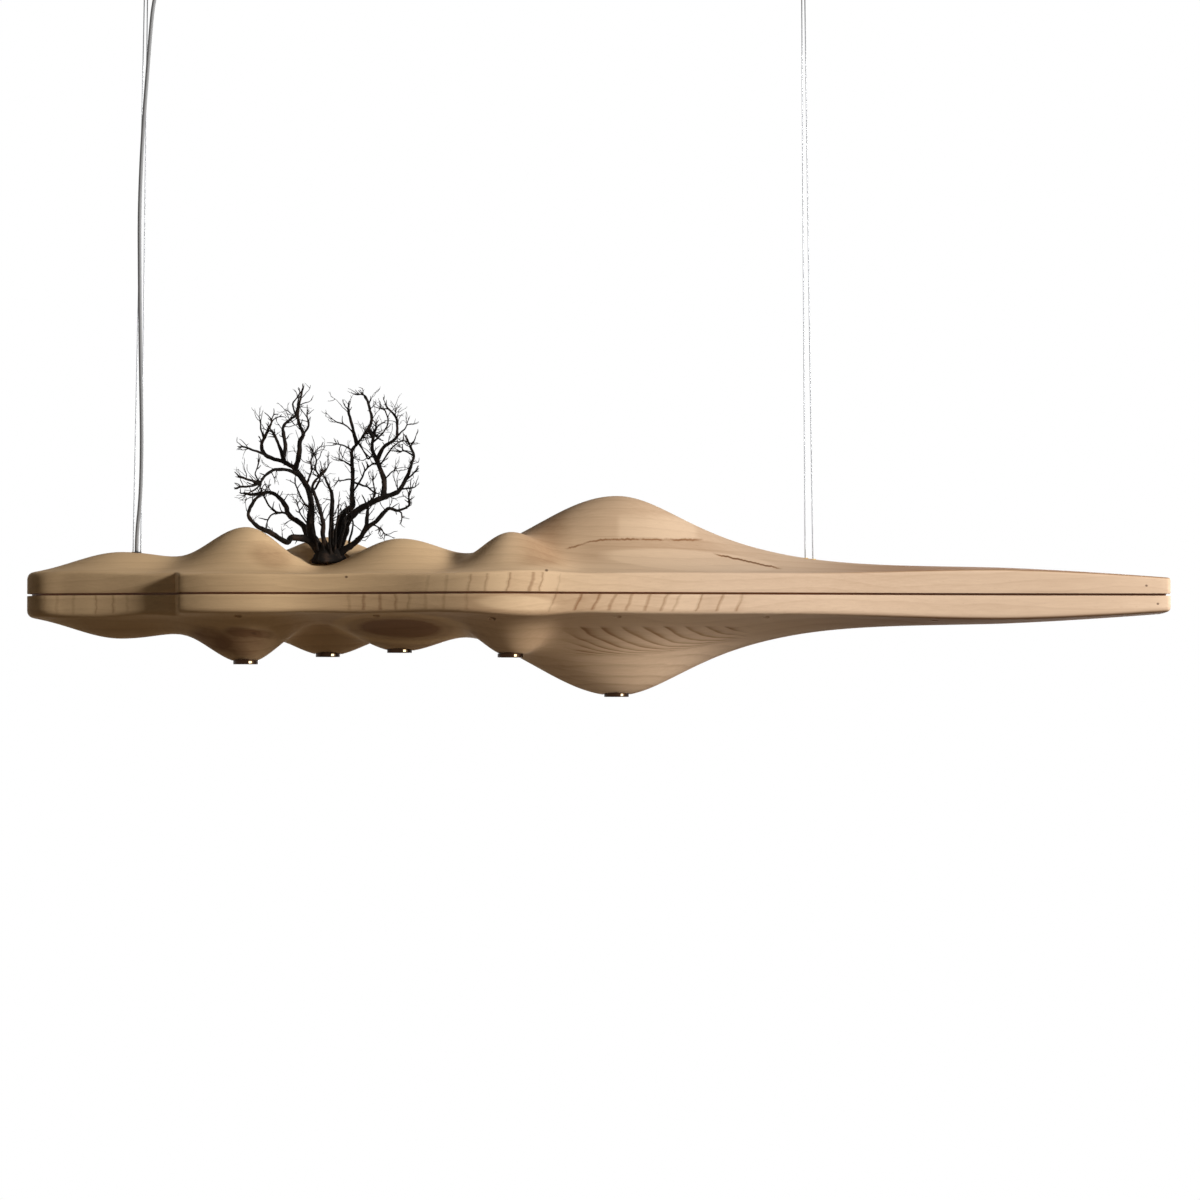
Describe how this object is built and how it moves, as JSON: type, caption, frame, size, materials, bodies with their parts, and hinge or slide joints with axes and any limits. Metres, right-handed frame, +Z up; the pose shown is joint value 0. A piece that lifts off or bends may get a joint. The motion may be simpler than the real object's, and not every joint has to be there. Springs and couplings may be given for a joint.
{
  "type": "wooden pendant light",
  "caption": "Long carved ash pendant: a mountain range mirrored below a shadow gap, lit at its lower tips, hung on steel wires, with a dried branch on top.",
  "frame": {"origin": "on the ceiling, at the centre of the four screw holes of the two ceiling brackets", "axes": "+X along the lamp from its round end to its thin tail, +Y to the back, +Z up into the ceiling"},
  "size_m": [1.495, 0.3142, 1.0135],
  "materials": {
    "ash": "oiled carved ash",
    "black_aluminium": "black anodised",
    "bronze_brown": "dark bronze",
    "frosted_lens": "frosted",
    "led_board": "white mask",
    "aluminium": "turned",
    "steel_wire": "bright",
    "grey_cord": "matt",
    "white_lead": "matt",
    "black_rubber": "matt",
    "white_plastic": "matt",
    "brass": "turned",
    "dry_twig": "dry bark, dyed black",
    "painted_cup": "satin grey-white",
    "steel": "zinc plated"
  },
  "bodies": {
    "ceiling": {"west_ceiling_bracket": "steel", "tail_ceiling_bracket": "steel", "west_ceiling_cup": "painted_cup", "tail_ceiling_cup": "painted_cup", "west_ball_seat": "steel", "tail_ball_seat": "steel", "west_ball_cap": "steel", "tail_ball_cap": "steel", "cord_grip": "black_rubber", "mains_terminal": "white_plastic"},
    "hanging_line": {"west_swivel_ball": "steel", "tail_swivel_ball": "steel", "west_wire_a": "steel_wire", "west_wire_b": "steel_wire", "tail_wire_a": "steel_wire", "tail_wire_b": "steel_wire", "wire_grub_screws": "steel", "power_cord": "grey_cord"},
    "pendant": {"branch_socket": "brass", "clamp_screws": "steel", "cord_clamp": "white_plastic", "cord_grommet": "black_rubber", "driver_screws": "steel", "heat_sink_1": "aluminium", "heat_sink_2": "aluminium", "heat_sink_3": "aluminium", "heat_sink_4": "aluminium", "heat_sink_5": "aluminium", "joining_screws": "steel", "lamp_leads": "white_lead", "led_board_1": "led_board", "led_board_2": "led_board", "led_board_3": "led_board", "led_board_4": "led_board", "led_board_5": "led_board", "led_driver": "white_plastic", "lens_1": "frosted_lens", "lens_2": "frosted_lens", "lens_3": "frosted_lens", "lens_4": "frosted_lens", "lens_5": "frosted_lens", "lower_half": "ash", "mains_lead": "grey_cord", "plate_screws": "steel", "spine_plate": "black_aluminium", "threaded_inserts": "brass", "trim_ring_1": "bronze_brown", "trim_ring_2": "bronze_brown", "trim_ring_3": "bronze_brown", "trim_ring_4": "bronze_brown", "trim_ring_5": "bronze_brown", "upper_half": "ash", "wire_bushings": "brass", "wire_stops": "steel", "wiring_block": "white_plastic"},
    "branch": {"dried_branch": "dry_twig"}
  },
  "joints": [
    {"name": "swing", "type": "hinge", "parent": "ceiling", "child": "hanging_line", "pos_m": [0, 0, -0.054], "axis": [1, 0, 0], "range_deg": [-10, 10]},
    {"name": "height", "type": "slide", "parent": "hanging_line", "child": "pendant", "axis": [0, 0, 1], "range_m": [0, 0.25], "deforming": ["west_wire_a", "west_wire_b", "tail_wire_a", "tail_wire_b", "power_cord"]},
    {"name": "branch_lift", "type": "slide", "parent": "pendant", "child": "branch", "axis": [0, 0, 1], "range_m": [0, 0.06]}
  ]
}
